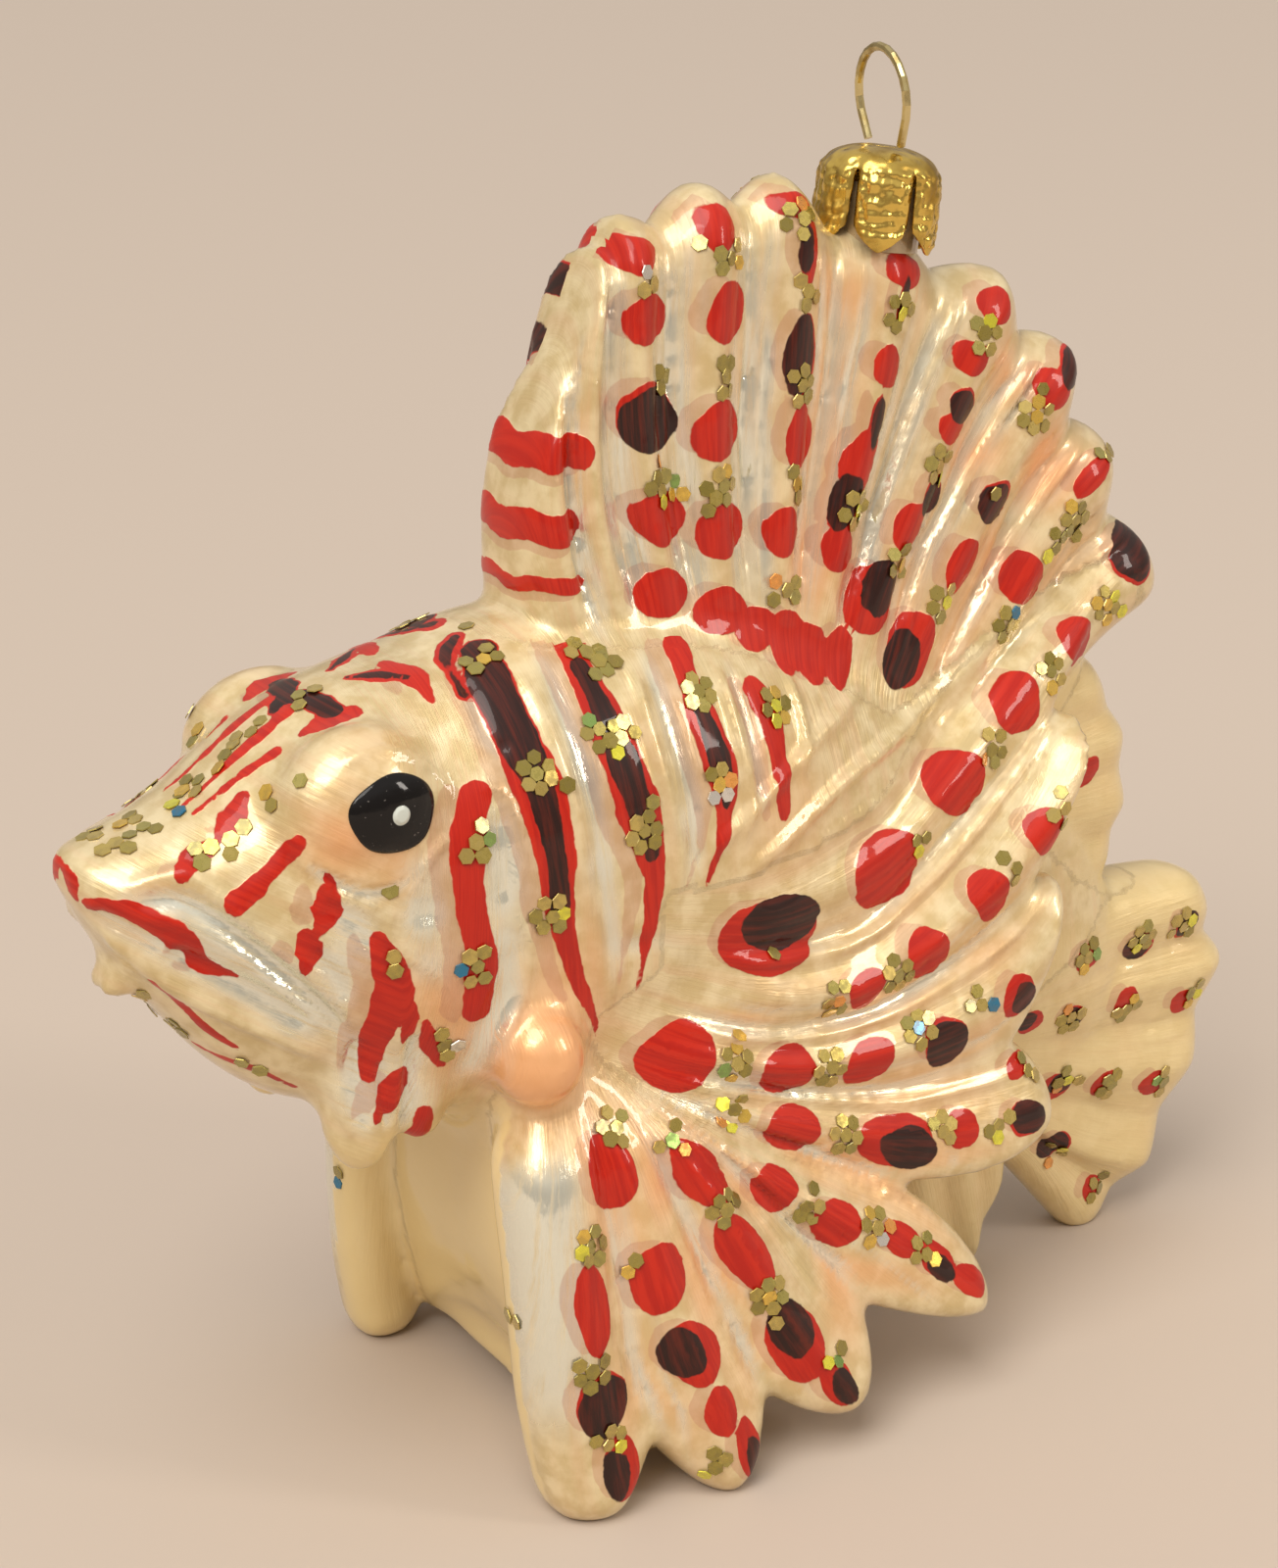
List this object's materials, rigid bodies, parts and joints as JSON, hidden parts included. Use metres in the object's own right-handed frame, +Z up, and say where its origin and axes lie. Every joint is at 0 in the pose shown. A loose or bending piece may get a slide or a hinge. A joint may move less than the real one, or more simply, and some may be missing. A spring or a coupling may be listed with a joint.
{
  "type": "blown-glass lionfish ornament",
  "caption": "Hollow blown-glass ornament shaped as a lionfish, silvered and hand painted, with a stamped metal cap and a wire loop to hang it by. It also stands on its lower fin tips.",
  "frame": {"origin": "middle of the bounding box on the floor that the lower fin tips stand on", "axes": "+X towards the tail, so that the fish faces -X, +Y towards its right side, +Z up"},
  "size_m": [0.1276, 0.051, 0.1242],
  "materials": {
    "pearl_glass": "blown glass silvered inside, with a pearl cream lacquer and red, brown and peach brushwork and glitter outside",
    "peach_glass": "blown glass with glossy peach lacquer",
    "black_enamel": "thick glossy black paint with a white dot",
    "gold_cap": "thin stamped metal, gold coloured, embossed and satin",
    "gold_wire": "bright drawn wire, pale gold"
  },
  "bodies": {
    "root": {"head": "pearl_glass", "trunk": "pearl_glass", "dorsal_fin": "pearl_glass", "soft_dorsal_fin": "pearl_glass", "tail_fin": "pearl_glass", "anal_fin": "pearl_glass", "pectoral_fin_left": "pearl_glass", "pectoral_fin_right": "pearl_glass", "pectoral_base_left": "peach_glass", "pectoral_base_right": "peach_glass", "chin_flap_left": "pearl_glass", "chin_flap_right": "pearl_glass", "eye_left": "black_enamel", "eye_right": "black_enamel", "neck": "pearl_glass", "cap": "gold_cap", "hanger_loop": "gold_wire"}
  },
  "joints": []
}
